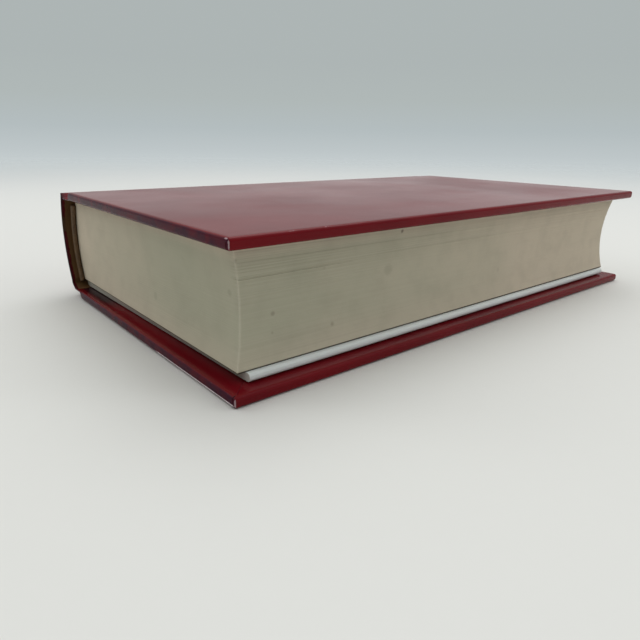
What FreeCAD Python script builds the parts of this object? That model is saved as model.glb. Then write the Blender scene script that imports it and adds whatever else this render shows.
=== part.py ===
import FreeCAD, Part
import math
import os

# Hardback book lying on its back cover. All sizes are in millimetres.
# +X runs from the spine to the fore-edge, +Y from the tail to the head, +Z up.
# The origin is under the middle of the closed book, in the plane that it lies on.

# The case: two boards and a spine card inside one glossy covering
case_height = 178.0          # tail to head
case_width = 108.0           # ends of the spine's curve to the fore-edge of the boards
board_thickness = 2.3
covering_thickness = 0.18
turn_in = 15.0               # covering folded over the edges onto the inside
edge_radius = 0.8            # outside edges of a covered board
corner_radius = 1.0          # outside corners of a covered board, seen from above
seam_width = 0.16            # slit where two folds of the covering meet
seam_depth = 0.1
seam_from_corner = 1.1       # folded corner, measured along the head and tail edges

# The joints, where the covers hinge
hinge_from_spine = 4.6       # hinge line, measured from the ends of the spine's curve
board_from_spine = 8.6       # spine side of the boards
groove_depth = 2.3           # pressed groove below the outside of the cover
groove_radius = 1.2
joint_slit = 0.1             # play between a cover's half of the joint and the spine's

# The paper
text_thickness = 27.28
plates_thickness = 2.0       # white leaves bound in at the back
leaf_thickness = 0.15        # endpapers
cover_play = 0.05            # between the paper and a closed cover
fore_edge_square = 5.1       # board beyond the leaves
tail_square = 3.8
plates_fore_edge_square = 3.7
plates_tail_square = 4.6
plates_edge_radius = 0.9     # soft fore-edge of the white leaves
pastedown_square = 5.2       # glued endpapers stop under the leaves
back_radius = 35.0           # rounded back of the sewn leaves
back_corner_radius = 1.5
fore_edge_hollow = 1.5       # depth of the concave fore-edge
trim_hollow = 2.1            # depth of the hollow head and tail, at the fore-edge

# The spine
mull_thickness = 0.18
mull_short = 16.0            # the mull stops this far from the head and tail of the case
mull_flange = 22.0           # its width on the inside of a board
liner_thickness = 0.25
glue_film = 0.05             # between the back, the mull or the tapes, and the liner
hollow = 1.05                # air between the liner and the spine card
card_thickness = 0.7
card_above_groove = 1.15     # upper long edge of the card, above the floor of its groove
card_over_groove = 2.65      # lower one: the book lies on its back, so its card rides high
shoulder_run = 0.9           # covering beyond the upper long edge of the card
lower_shoulder_run = 1.2
shoulder_foot = 2.2          # where the upper shoulder meets the floor of the groove
lower_shoulder_foot = 2.6
shoulder_radius = 0.5
band_radius = 0.8            # bead of the head and tail bands
band_tape = 12.0             # tape of the bands, glued on the back
band_inset = 0.3             # centre of the bead inside the rounded back

# Worked out from the sizes above
cover_thickness = 2 * covering_thickness + board_thickness
cover_stack = cover_thickness + leaf_thickness
paper_bottom = cover_stack + cover_play + leaf_thickness
plates_top = paper_bottom + plates_thickness
paper_top = plates_top + text_thickness
case_thickness = paper_top + paper_bottom
paper_middle = case_thickness / 2
tail = tail_square
head = case_height - tail_square
fore_edge = case_width - fore_edge_square
liner_radius = back_radius + mull_thickness + 2 * glue_film
lined_radius = liner_radius + liner_thickness
card_radius = lined_radius + hollow
shell_radius = card_radius + card_thickness + covering_thickness
groove_floor = case_thickness - groove_depth
card_top = groove_floor + card_above_groove
card_bottom = groove_depth + card_over_groove
shell_middle = (card_top + card_bottom) / 2
card_angle = math.asin((card_top - card_bottom) / 2 / shell_radius)
arc_centre = shell_radius * math.cos(card_angle)
hinge_gap = joint_slit / 2
board_inside = case_thickness - covering_thickness - board_thickness
spine_bulge = shell_radius - arc_centre
origin_shift = FreeCAD.Vector((spine_bulge - case_width) / 2, -case_height / 2, 0)
lining_angle = math.asin((paper_middle - paper_bottom - back_corner_radius) / back_radius)
margin = 5.0                 # how far cutting tools reach past what they cut
least = 0.01                 # depth of a hollow where it fades out
UP = FreeCAD.Vector(0, 0, 1)


def at(x, z, y=0.0):
    """Point given by its place in the cross-section."""
    return FreeCAD.Vector(x, y, z)


def box(x, y, z):
    """Block between two values along each axis."""
    corner = FreeCAD.Vector(x[0], y[0], z[0])
    return Part.makeBox(x[1] - x[0], y[1] - y[0], z[1] - z[0], corner)


def rounded(points, radii):
    """Edges of straight runs whose inner corners are rounded by tangent arcs."""
    edges = []
    start = points[0]
    for before, corner, after, radius in zip(points, points[1:], points[2:], radii):
        into = (before - corner).normalize()
        out = (after - corner).normalize()
        first, last = corner, corner
        if radius > 0:
            half = into.getAngle(out) / 2
            first = corner + into * (radius / math.tan(half))
            last = corner + out * (radius / math.tan(half))
            bisector = (into + out).normalize()
            middle = corner + bisector * (radius / math.sin(half) - radius)
        edges.append(Part.makeLine(start, first))
        if radius > 0:
            edges.append(Part.Arc(first, middle, last).toShape())
        start = last
    edges.append(Part.makeLine(start, points[-1]))
    return edges


def outline(points, radii):
    """Face inside a closed outline, with one radius for each point after the first."""
    return Part.Face(Part.Wire(rounded(points + [points[0]], radii)))


def drawn_out(face, y):
    """Cross-section drawn out along the book."""
    solid = face.extrude(FreeCAD.Vector(0, y[1] - y[0], 0))
    solid.translate(FreeCAD.Vector(0, y[0], 0))
    return solid


def back_arc(radius, angle, middle):
    """Arc of the rounded back, from its lower end to its upper end."""
    side = radius * math.cos(angle)
    rise = radius * math.sin(angle)
    return Part.Arc(
        at(arc_centre - side, middle - rise),
        at(arc_centre - radius, middle),
        at(arc_centre - side, middle + rise),
    ).toShape()


def back_ring(inner, thickness, angle, middle):
    """Cross-section of a sheet bent round the back."""
    near = back_arc(inner, angle, middle)
    far = back_arc(inner + thickness, angle, middle)
    ends = [
        Part.makeLine(near.Vertexes[i].Point, far.Vertexes[i].Point) for i in (0, 1)
    ]
    return Part.Face(Part.Wire([near, ends[1], far, ends[0]]))


def sheet_inside(path, thickness):
    """Cross-section of a sheet whose outer face follows the path."""
    middle = at(arc_centre, paper_middle)
    faces = [path.makeOffset2D(way * thickness, 0, True, True, True) for way in (1, -1)]
    return min(faces, key=lambda face: face.CenterOfMass.distanceToPoint(middle))


def book_section(around=0.0, above=0.0):
    """Solid of the leaves' cross-section with a flat fore-edge, grown round the back and above."""
    low = paper_bottom - above
    high = paper_top + above
    radius = back_radius + around
    side = arc_centre - math.sqrt(radius ** 2 - (paper_middle - low) ** 2)
    arc = Part.Arc(at(side, low), at(arc_centre - radius, paper_middle), at(side, high)).toShape()
    walls = rounded([at(side, high), at(case_width, high), at(case_width, low), at(side, low)], [0, 0])
    solid = drawn_out(Part.Face(Part.Wire([arc] + walls)), (0, case_height))
    corners = [e for e in solid.Edges if abs(e.BoundBox.XMax - side) < 0.01 and e.Length > turn_in]
    return solid.makeFillet(back_corner_radius + around, corners)


def trim_tool(y, outward):
    """What the trimmed head or tail lacks: nothing at the back, more towards the fore-edge."""
    ends = []
    for x, depth in ((0.0, least), (fore_edge, trim_hollow)):
        low, high = at(x, plates_top, y), at(x, paper_top, y)
        deepest = at(x, (plates_top + paper_top) / 2, y - outward * depth)
        far = FreeCAD.Vector(0, outward * margin, 0)
        sides = [Part.makeLine(high, high + far), Part.makeLine(high + far, low + far)]
        sides.append(Part.makeLine(low + far, low))
        ends.append(Part.Wire([Part.Arc(low, deepest, high).toShape()] + sides))
    return Part.makeLoft(ends, True, True)


def text_block():
    """Sewn leaves as one solid: rounded back, hollow fore-edge and hollow trimmed ends."""
    leaves = book_section().common(
        box((-margin, fore_edge), (tail, head), (plates_top, paper_top + margin))
    )
    chord = text_thickness / 2
    radius = (chord ** 2 + fore_edge_hollow ** 2) / (2 * fore_edge_hollow)
    scoop_at = at(fore_edge - fore_edge_hollow + radius, plates_top + chord, tail - margin)
    scoop = Part.makeCylinder(radius, head - tail + 2 * margin, scoop_at, FreeCAD.Vector(0, 1, 0))
    return leaves.cut([scoop, trim_tool(tail, -1), trim_tool(head, 1)])


def plate_section():
    """White leaves at the back, a little wider than the rest, with a soft fore-edge."""
    edge = case_width - plates_fore_edge_square
    corners = [
        at(-margin, paper_bottom), at(edge, paper_bottom), at(edge, plates_top), at(-margin, plates_top)
    ]
    soft = outline(corners, [plates_edge_radius, plates_edge_radius, 0])
    ends = (plates_tail_square, case_height - plates_tail_square)
    return drawn_out(soft, ends).common(book_section())


def flyleaf(bottom, edge, short):
    """Free half of an endpaper, tipped to the outer leaf."""
    start = arc_centre - math.sqrt(back_radius ** 2 - (paper_top - paper_middle) ** 2)
    x = (start + back_corner_radius, edge)
    return box(x, (short, case_height - short), (bottom, bottom + leaf_thickness))


def band(y, outward):
    """Head or tail band: a bead over the end of the back, on a tape that is glued to it."""
    angle = lining_angle
    path = Part.Wire(back_arc(back_radius - band_inset, angle, paper_middle))
    start = path.Vertexes[0].Point
    direction = FreeCAD.Vector(math.sin(angle), 0, -math.cos(angle))
    bead = path.makePipe(Part.Face(Part.Wire(Part.makeCircle(band_radius, start, direction))))
    bead.translate(FreeCAD.Vector(0, y + outward * band_radius, 0))
    tape_ends = sorted((y + outward * band_radius, y - outward * band_tape))
    tape_section = back_ring(back_radius + glue_film, mull_thickness, angle, paper_middle)
    tape = drawn_out(tape_section, tape_ends)
    return bead.fuse(tape).removeSplitter()


def spine_mull():
    """Gauze glued over the back and round its corners, as far as the hinges."""
    y = (mull_short, case_height - mull_short)
    outer = book_section(glue_film + mull_thickness, leaf_thickness + mull_thickness)
    sheet = outer.cut(book_section(glue_film, leaf_thickness))
    reach = (-margin, hinge_from_spine - hinge_gap)
    return sheet.common(box(reach, y, (0, case_thickness)))


def spine_liner():
    """Kraft strip over the gauze and the tapes."""
    ring = back_ring(liner_radius, liner_thickness, lining_angle, paper_middle)
    return drawn_out(ring, (tail, head))


def spine_card():
    """Card inside the covering of the hollow back."""
    ring = back_ring(card_radius, card_thickness, card_angle, shell_middle)
    return drawn_out(ring, (covering_thickness, case_height - covering_thickness))


def shoulder(side, run, foot, floor, edge):
    """Covering from the groove to the curve of the spine; side is 1 above and -1 below."""
    lean = FreeCAD.Vector(math.sin(card_angle), 0, side * math.cos(card_angle))
    end = at(0, edge)
    points = [at(hinge_from_spine - hinge_gap, floor), at(foot, floor), end + lean * run, end]
    return rounded(points, [shoulder_radius * 2, shoulder_radius])


def spine_wrap():
    """Covering of the spine and its half of both joints, folded in over the ends of the card."""
    upper = shoulder(1, shoulder_run, shoulder_foot, groove_floor, card_top)
    lower = shoulder(-1, lower_shoulder_run, lower_shoulder_foot, groove_depth, card_bottom)
    curve = back_arc(shell_radius, card_angle, shell_middle)
    path = Part.Wire(Part.sortEdges(upper + [curve] + lower)[0])
    outside = drawn_out(sheet_inside(path, covering_thickness), (0, case_height))
    folded = back_ring(card_radius - covering_thickness, covering_thickness, card_angle, shell_middle)
    through = back_ring(
        card_radius - covering_thickness, card_thickness + 2 * covering_thickness, card_angle, shell_middle
    )
    layers = [folded]
    for joint in (upper, lower):
        layers.append(sheet_inside(Part.Wire(joint), 2 * covering_thickness))
    parts = []
    for y in ((0, turn_in), (case_height - turn_in, case_height)):
        parts += [drawn_out(layer, y) for layer in layers]
    parts.append(drawn_out(through, (0, covering_thickness)))
    parts.append(drawn_out(through, (case_height - covering_thickness, case_height)))
    return outside.fuse(parts).removeSplitter()


def plate(section, inset, low, high):
    """Cross-section drawn out along the book, its ends and fore-edge corners rounded as well."""
    near, far = inset, case_height - inset
    edge = edge_radius - inset
    ends = [
        FreeCAD.Vector(0, case_height / 2, low), FreeCAD.Vector(0, near, low), FreeCAD.Vector(0, near, high),
        FreeCAD.Vector(0, far, high), FreeCAD.Vector(0, far, low),
    ]
    along = outline(ends, [edge, edge, edge, edge]).extrude(FreeCAD.Vector(case_width, 0, 0))
    corner = corner_radius - inset
    right = case_width - inset
    plan = [
        FreeCAD.Vector(0, near, 0), FreeCAD.Vector(right, near, 0),
        FreeCAD.Vector(right, far, 0), FreeCAD.Vector(0, far, 0),
    ]
    above = outline(plan, [corner, corner, 0]).extrude(FreeCAD.Vector(0, 0, case_thickness))
    return drawn_out(section, (near, far)).common(along).common(above)


def board():
    """Front board; the covering bends round its softened edges."""
    edge = edge_radius - covering_thickness
    right = case_width - covering_thickness
    top = case_thickness - covering_thickness
    section = outline(
        [at(board_from_spine, board_inside), at(board_from_spine, top), at(right, top), at(right, board_inside)],
        [edge, edge, edge],
    )
    return plate(section, covering_thickness, board_inside, top)


def fold_seams():
    """Slits where the folded corners of the covering meet, on the edges and on the inside."""
    inside = case_thickness - cover_thickness
    seams = []
    for y, inward in ((0.0, 1), (case_height, -1)):
        across = (case_width - seam_from_corner - seam_width, case_width - seam_from_corner)
        depth = sorted((y - inward * margin, y + inward * seam_depth))
        seams.append(box(across, depth, (inside - margin, case_thickness - edge_radius)))
        reach = (corner_radius * math.sqrt(2), turn_in * math.sqrt(2) + seam_width)
        mitre = box(reach, (-seam_width / 2, seam_width / 2), (-margin, seam_depth))
        mitre.rotate(FreeCAD.Vector(), UP, inward * 135)
        mitre.translate(FreeCAD.Vector(case_width, y, inside))
        seams.append(mitre)
    return seams


def cover_wrap():
    """Covering of the front board: outside, three folded edges and its half of the joint."""
    inside = case_thickness - cover_thickness
    left = hinge_from_spine + hinge_gap
    wall = board_from_spine - covering_thickness
    section = outline(
        [at(left, groove_floor), at(wall, groove_floor), at(wall, case_thickness),
         at(case_width, case_thickness), at(case_width, inside), at(left, inside)],
        [groove_radius, edge_radius, edge_radius, edge_radius, 0],
    )
    window = box(
        (0, case_width - turn_in), (turn_in, case_height - turn_in), (inside - margin, board_inside)
    )
    whole = plate(section, 0.0, inside, case_thickness)
    return whole.cut([board(), window] + fold_seams())


def cover_mull():
    """Gauze from the hinge onto the inside of the front board, under the pastedown."""
    x = (hinge_from_spine + hinge_gap, board_from_spine + mull_flange)
    z = (board_inside - mull_thickness, board_inside)
    return box(x, (mull_short, case_height - mull_short), z)


def pastedown():
    """Glued half of the front endpaper, level inside and pressed over what lies beneath it."""
    x = (hinge_from_spine + hinge_gap, case_width - pastedown_square)
    y = (pastedown_square, case_height - pastedown_square)
    sheet = box(x, y, (case_thickness - cover_stack, board_inside))
    return sheet.cut([cover_wrap(), cover_mull()])


def mirrored(shape):
    """The same piece of the back cover."""
    return shape.mirror(at(0, case_thickness / 2), UP)


def export(name, shape):
    """Write one piece, with the origin under the middle of the closed book."""
    piece = shape.copy()
    piece.translate(origin_shift)
    piece.exportStep("parts/" + name + ".step")
    solids = len(piece.Solids)
    print(f"{name}: {solids} solid(s), {piece.Volume:.1f} mm3, valid {piece.isValid()}")


os.makedirs("parts", exist_ok=True)

export("text_block", text_block())
export("plate_section", plate_section())
export("front_flyleaf", flyleaf(paper_top, fore_edge, tail_square))
export("back_flyleaf", flyleaf(paper_bottom - leaf_thickness, fore_edge, plates_tail_square))
export("tail_band", band(tail, -1))
export("head_band", band(head, 1))
export("spine_mull", spine_mull())
export("spine_liner", spine_liner())
export("spine_card", spine_card())
export("spine_wrap", spine_wrap())

front_pieces = {
    "board": board(),
    "wrap": cover_wrap(),
    "mull": cover_mull(),
    "pastedown": pastedown(),
}
for piece_name, piece_shape in front_pieces.items():
    export("front_" + piece_name, piece_shape)
    export("back_" + piece_name, mirrored(piece_shape))

print(f"case {case_width + spine_bulge:.2f} x {case_height:.2f} x {case_thickness:.2f} mm")
print(f"hinge x {hinge_from_spine + origin_shift.x:.3f}, z {case_thickness:.3f} and 0")
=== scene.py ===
import math

import bmesh
import bpy
import numpy as np
from mathutils import Matrix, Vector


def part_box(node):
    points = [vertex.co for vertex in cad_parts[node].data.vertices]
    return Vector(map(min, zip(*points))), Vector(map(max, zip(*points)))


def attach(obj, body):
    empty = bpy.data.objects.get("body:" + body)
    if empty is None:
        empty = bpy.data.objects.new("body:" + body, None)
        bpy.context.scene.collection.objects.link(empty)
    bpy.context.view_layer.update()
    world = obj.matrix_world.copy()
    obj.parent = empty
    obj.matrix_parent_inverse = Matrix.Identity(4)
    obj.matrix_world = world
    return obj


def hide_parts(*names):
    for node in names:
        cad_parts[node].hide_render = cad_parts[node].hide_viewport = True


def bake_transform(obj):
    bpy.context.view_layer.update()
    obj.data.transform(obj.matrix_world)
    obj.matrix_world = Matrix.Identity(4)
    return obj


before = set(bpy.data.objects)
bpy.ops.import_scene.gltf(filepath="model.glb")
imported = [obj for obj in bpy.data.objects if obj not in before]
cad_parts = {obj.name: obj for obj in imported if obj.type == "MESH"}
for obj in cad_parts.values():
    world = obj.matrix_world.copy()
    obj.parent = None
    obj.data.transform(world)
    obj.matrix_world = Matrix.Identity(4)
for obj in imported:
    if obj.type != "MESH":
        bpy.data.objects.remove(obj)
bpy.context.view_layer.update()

# Small hardback book with a glossy red covering, lying on its back cover.
# Shapes are worked out in millimetres: +x runs to the fore-edge, +y to the head, +z up.


def nodeBox(name):
    # lowest and highest corner of a solid of the frame, in millimetres
    low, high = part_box(name)
    return np.array(low) * 1000, np.array(high) * 1000


paper = {
    "backRadius": 35.0,  # rounded back of the sewn leaves
    "backCorner": 1.5,
    "foreEdgeHollow": 1.5,  # concave fore-edge
    "trimHollow": 2.1,  # hollow of the trimmed head and tail, at the fore-edge
    "softEdge": 0.9,  # fore-edge of the white leaves
    "endpaper": 0.15,  # thickness of an endpaper
    "highlightWidth": 0.27,  # painted highlight along the upright corners of the leaves
    "highlightShare": 0.75,
}
case = {
    "covering": 0.18,  # thickness of the covering
    "turnIn": 15.0,  # folded in over the edges of the boards
    "edgeRadius": 0.8,  # bend over the edges of the boards
    "cornerRadius": 0.8,  # corners of the boards, seen from above
    "grooveDepth": 2.3,  # groove by the spine, where a cover hinges
    "grooveRadius": 1.2,
    "gauze": 0.18,  # layers behind the leaves, from inside to outside
    "liner": 0.25,
    "hollow": 1.15,  # with the glue films
    "card": 0.7,
}

textLow, textHigh = nodeBox("text_block")
plateLow, plateHigh = nodeBox("plate_section")
wrapLow, wrapHigh = nodeBox("front_wrap")
boardLow = nodeBox("front_board")[0]
spineLow, spineHigh = nodeBox("spine_wrap")
cardLow, cardHigh = nodeBox("spine_card")
flyHigh = nodeBox("front_flyleaf")[1]
pasteLow, pasteHigh = nodeBox("front_pastedown")

caseTop = wrapHigh[2]
coverThick = wrapHigh[2] - wrapLow[2]
middleZ = caseTop / 2
axisX = textLow[0] + paper["backRadius"]  # axis of the rounded back
hingeX = (wrapLow[0] + spineHigh[0]) / 2
grooveTop = caseTop - case["grooveDepth"]


def addMesh(name, points, faces, sharpAngle=38.0):
    # millimetres to metres, faces smooth except over sharp edges
    mesh = bpy.data.meshes.new(name)
    mesh.from_pydata((np.asarray(points).reshape(-1, 3) / 1000).tolist(), [], faces)
    mesh.polygons.foreach_set("use_smooth", np.ones(len(mesh.polygons), bool))
    if sharpAngle:
        mesh.set_sharp_from_angle(angle=math.radians(sharpAngle))
    piece = bpy.data.objects.new(name, mesh)
    bpy.context.scene.collection.objects.link(piece)
    return piece


def gridFaces(rows, columns, start=0, closed=False, flip=False):
    # quads between neighbouring points of a grid; closed joins the last column to the first
    index = start + np.arange(rows * columns).reshape(rows, columns)
    if closed:
        index = np.hstack([index, index[:, :1]])
    corners = [index[:-1, :-1], index[:-1, 1:], index[1:, 1:], index[1:, :-1]]
    quads = np.stack(corners[::-1] if flip else corners, -1).reshape(-1, 4)
    return quads.tolist()


def tubeFaces(rows, columns, start=0):
    # a tube with both ends shut
    last = start + (rows - 1) * columns
    ends = [list(range(start, start + columns))[::-1], list(range(last, last + columns))]
    return gridFaces(rows, columns, start=start, closed=True) + ends


def bell(value, middle, width):
    return np.exp(-(((value - middle) / width) ** 2))


def waver(along, longest, count, seed):
    # sum of sines with shrinking wavelengths and heights, between about -1 and 1
    draw = np.random.default_rng(seed)
    steps = np.arange(count)
    lengths = longest / 1.7 ** steps * draw.uniform(0.85, 1.15, count)
    phases = draw.uniform(0, 2 * np.pi, count)
    heights = 0.75 ** steps
    waves = np.sin(2 * np.pi * np.asarray(along)[..., None] / lengths + phases) * heights
    return waves.sum(-1) / heights.sum()


def spread(start, end, count, closeness=1.0):
    # positions from start to end, closer together at both ends when closeness is above 1
    t = np.linspace(-1, 1, count)
    eased = np.sign(t) * (1 - (1 - np.abs(t)) ** closeness)
    return start + (end - start) * (eased + 1) / 2


def rounded(corners, radii, steps=6):
    # straight runs whose inner corners are replaced by tangent arcs
    runs = [np.array(corners[0], float)[None]]
    for before, corner, after, radius in zip(corners, corners[1:], corners[2:], radii):
        before, corner, after = (np.array(p, float) for p in (before, corner, after))
        into = (before - corner) / np.linalg.norm(before - corner)
        out = (after - corner) / np.linalg.norm(after - corner)
        half = math.acos(np.clip(into @ out, -1, 1)) / 2
        centre = corner + (into + out) / np.linalg.norm(into + out) * radius / math.sin(half)
        first = corner + into * radius / math.tan(half) - centre
        last = corner + out * radius / math.tan(half) - centre
        turn = np.linspace(0, 1, steps)[:, None]
        swing = math.pi - 2 * half
        arc = (np.sin((1 - turn) * swing) * first + np.sin(turn * swing) * last) / math.sin(swing)
        runs.append(centre + arc)
    runs.append(np.array(corners[-1], float)[None])
    return np.vstack(runs)


def evenly(path, spacing):
    # the same path with points at about the given spacing, its own points kept
    pieces = [path[:1]]
    for a, b in zip(path[:-1], path[1:]):
        count = max(1, int(np.linalg.norm(b - a) / spacing))
        pieces.append(a + (b - a) * np.linspace(0, 1, count + 1)[1:, None])
    return np.vstack(pieces)


def setShare(mesh, name, values):
    # a value from 0 to 1 for each point of the mesh
    attribute = mesh.attributes.new(name, "FLOAT", "POINT")
    attribute.data.foreach_set("value", np.clip(values, 0, 1).astype(np.float32).ravel())


def arcLength(path):
    return np.concatenate([[0], np.cumsum(np.linalg.norm(np.diff(path, axis=0), axis=1))])


leavesLook = {
    "lastLeaves": 0.28,  # mm that the lowest leaves stand back
    "lastHeight": 0.22,
    "limits": (-0.12, 0.05),  # how far leaves may stand in or out
    "levels": 270,
    "leafWander": 0.016,  # how far single leaves stand in or out
    "groupWander": 0.022,  # how far groups of leaves stand in or out
    "groups": (29.7, 28.9, 27.5, 26.8, 25.1, 24.5, 23.8, 22.0),  # heights of the gaps
    "groupDepth": 0.07,
    "groupHeight": 0.09,
    "groupReach": 75.0,  # the gaps fade out this far from the tail
}


def backAt(z):
    # rounded back: a circle about the axis, with its top and bottom corners rounded
    radius, small = paper["backRadius"], paper["backCorner"]
    x = axisX - np.sqrt(radius ** 2 - (z - middleZ) ** 2)
    half = middleZ - plateLow[2]
    centreZ = half - small
    centreX = axisX - math.sqrt((radius - small) ** 2 - centreZ ** 2)
    joins = centreZ * radius / (radius - small)
    above = np.abs(z - middleZ)
    rise = np.clip(above - centreZ, 0, small)
    return np.where(above > joins, centreX - np.sqrt(small ** 2 - rise ** 2), x)


def trimmedAt(x, z):
    # hollow of the head and tail: parabola across the leaves, deeper towards the fore-edge
    chord = (textHigh[2] - textLow[2]) / 2
    share = 1 - ((z - textLow[2] - chord) / chord) ** 2
    return paper["trimHollow"] * np.clip((x - textLow[0]) / (textHigh[0] - textLow[0]), 0, 1) * share


def foreEdgeAt(z):
    # hollow fore-edge: a circle through the first and last leaf
    chord = (textHigh[2] - textLow[2]) / 2
    hollow = paper["foreEdgeHollow"]
    radius = (chord ** 2 + hollow ** 2) / (2 * hollow)
    return textHigh[0] - hollow + radius - np.sqrt(radius ** 2 - (z - textLow[2] - chord) ** 2)


def leafStack(name, z, foreX, tailY, headY, relief, counts, trimmed):
    # one closed outline for each level: tail, fore-edge, head and back, pushed outwards by relief
    alongTail = spread(0, 1, counts[0], 1.6)[:-1]
    alongFore = spread(0, 1, counts[1], 1.6)[:-1]
    alongBack = spread(0, 1, counts[2])[:-1]
    backX = backAt(z)[:, None]
    foreX = foreX[:, None]
    level = z[:, None]
    across = backX + (foreX - backX) * alongTail
    corner = trimmed(foreX, level)
    tail = tailY + trimmed(across, level)
    headX = foreX + (backX - foreX) * alongTail
    head = headY - trimmed(headX, level)
    foreY = tailY + corner + (headY - tailY - 2 * corner) * alongFore
    backY = headY + (tailY - headY) * alongBack + 0 * level
    x = np.hstack([across, foreX + 0 * foreY, headX, backX + 0 * backY])
    y = np.hstack([tail, foreY, head, backY])
    sizes = [len(alongTail), len(alongFore), len(alongTail), len(alongBack)]
    outX = np.repeat([0.0, 1.0, 0.0, -1.0], sizes)
    outY = np.repeat([-1.0, 0.0, 1.0, 0.0], sizes)
    push = relief(x, y, level) * np.repeat([1.0, 1.0, 1.0, 0.0], sizes)
    points = np.stack([x + outX * push, y + outY * push, level + 0 * x], -1)
    piece = addMesh(name, points, tubeFaces(*x.shape), sharpAngle=55.0)
    # painted highlight: a bell curve of the distance from the upright corners at the fore-edge
    cornerY = np.minimum(np.abs(y - tailY - corner), np.abs(headY - corner - y))
    wearAndHighlight = bell(np.hypot(x - foreX, cornerY), 0, paper["highlightWidth"])
    setShare(piece.data, "wearAndHighlight", paper["highlightShare"] * wearAndHighlight)
    return piece


def leafRelief(x, y, z):
    # single leaves and groups of them stand in or out by random steps, and gaps open near the tail
    look = leavesLook
    draw = np.random.default_rng(11)
    rows = z.shape[0]
    single = draw.normal(0, 1, (rows, 1))
    group = np.repeat(draw.normal(0, 1, (rows // 6 + 1, 1)), 6, axis=0)[:rows]
    phase = draw.uniform(0, 6.28, (rows, 1))
    drift = 0.6 + 0.4 * np.sin(y / 9 + phase) * np.cos(x / 13 + phase)
    push = look["leafWander"] * single * drift
    onForeEdge = np.clip((x - textHigh[0] + 3.2) / 1.5, 0, 1)
    wave = np.sin(y / 31 + x / 23 + group * 5) * (0.25 + 0.75 * onForeEdge)
    push += look["groupWander"] * group * wave
    fade = np.clip(1 - (y - textLow[1]) / look["groupReach"], 0, 1) ** 1.5 * onForeEdge
    for height in look["groups"]:
        push -= look["groupDepth"] * fade * bell(z, height, look["groupHeight"])
    # the last leaves stand back from the white ones
    last = look["lastLeaves"] * bell(z, textLow[2], look["lastHeight"])
    return np.clip(push, *look["limits"]) - last


print("leaves")
levels = np.linspace(textLow[2], textHigh[2], leavesLook["levels"])
leavesBlock = leafStack(
    "leavesBlock", levels, foreEdgeAt(levels), textLow[1], textHigh[1],
    leafRelief, (66, 96, 14), trimmedAt,
)

whiteLook = {
    "levels": 34,
    "wander": 0.015,  # how far single leaves stand in or out
    "setBack": 1.5,  # head and tail at the fore-edge
}
whiteMiddle = (plateLow[2] + plateHigh[2]) / 2
whiteHalf = (plateHigh[2] - plateLow[2]) / 2


def whiteRelief(x, y, z):
    # white leaves: small random steps from leaf to leaf
    draw = np.random.default_rng(5)
    single = draw.normal(0, 1, z.shape)
    return whiteLook["wander"] * single * (0.6 + 0.4 * np.sin(y / 14 + x / 11))


def whiteSetBack(x, z):
    # the head and tail of these leaves stand back in proportion to the distance from the spine
    share = np.clip((x - plateLow[0]) / (plateHigh[0] - plateLow[0]), 0, 1)
    return whiteLook["setBack"] * share + 0 * z


def softEdgeAt(z):
    # half-round fore-edge: a quarter circle at the first and at the last white leaf
    radius = paper["softEdge"]
    over = np.clip(np.abs(z - whiteMiddle) - whiteHalf + radius, 0, radius)
    return plateHigh[0] - radius + np.sqrt(radius ** 2 - over ** 2)


turn = np.linspace(-1, 1, whiteLook["levels"])
whiteLevels = whiteMiddle + whiteHalf * np.sin(turn * np.pi / 2)
whiteLeaves = leafStack(
    "whiteLeaves", whiteLevels, softEdgeAt(whiteLevels), plateLow[1], plateHigh[1],
    whiteRelief, (56, 90, 12), whiteSetBack,
)


def backSheet(name, node, body, low):
    # thin sheet under the white leaves, that stands back at the head and tail as they do
    sheetLow, sheetHigh = nodeBox(node)
    x = np.linspace(sheetLow[0], sheetHigh[0], 24)
    inset = whiteSetBack(x, 0)
    tail = np.stack([x, sheetLow[1] + inset], 1)
    head = np.stack([x, sheetHigh[1] - inset], 1)
    outline = np.concatenate([tail, head[::-1]])
    points = [(*spot, height) for height in (low, sheetHigh[2]) for spot in outline]
    piece = addMesh(name, points, tubeFaces(2, len(outline)), sharpAngle=55.0)
    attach(piece, body)
    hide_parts(node)
    return piece


print("back endpaper")
freeLow = nodeBox("back_flyleaf")[0][2]
gluedLow = nodeBox("back_pastedown")[1][2] - paper["endpaper"]
freeEndpaper = backSheet("backFreeEndpaper", "back_flyleaf", "book_block", freeLow)
gluedEndpaper = backSheet("backGluedEndpaper", "back_pastedown", "back_cover", gluedLow)

coverLook = {
    "edgeWaver": 0.035,  # how uneven the edges of the boards are
    "flapStep": 0.05,  # the folded corner lies this much deeper than the flap
    "seamDepth": 0.1,  # slit where the folded corner meets the flap
    "seamFromCorner": 0.86,
    "seamWidth": 0.26,
    "knockEnds": 0.8,  # rubbed lines fade out over this length
}
seamHalf = coverLook["seamWidth"] * 0.62  # half of the slit with its slopes


def sideProfile():
    # from the turned-in edge, round the lower edge, up the side and round the upper edge to the
    # middle: the distance inside the outline, the height from 0 to 1, and how much of it is edge
    radius = case["edgeRadius"]
    turn = np.linspace(0, math.pi / 2, 7)
    inside = np.array([case["turnIn"], case["turnIn"] - 0.12, 12.0, 8.0, 4.5, 2.4, 1.5, 1.15])
    lower = np.stack([radius * (1 - np.sin(turn)), radius * (1 - np.cos(turn)) / coverThick], 1)
    upper = np.stack([radius * (1 - np.cos(turn)), 1 - radius * (1 - np.sin(turn)) / coverThick], 1)
    top = radius + np.array([0.12, 0.3, 0.6, 1.0, 1.6, 2.6, 4.2])
    rows = [
        np.stack([inside, 0 * inside], 1), lower,
        [[0, 0.42], [0, 0.55], [0, 0.64], [0, 0.69]], upper, np.stack([top, 0 * top + 1], 1),
    ]
    profile = np.vstack(rows)
    onEdge = np.clip(1.6 - profile[:, 0], 0, 1)
    return profile[:, 0], profile[:, 1], onEdge


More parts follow.
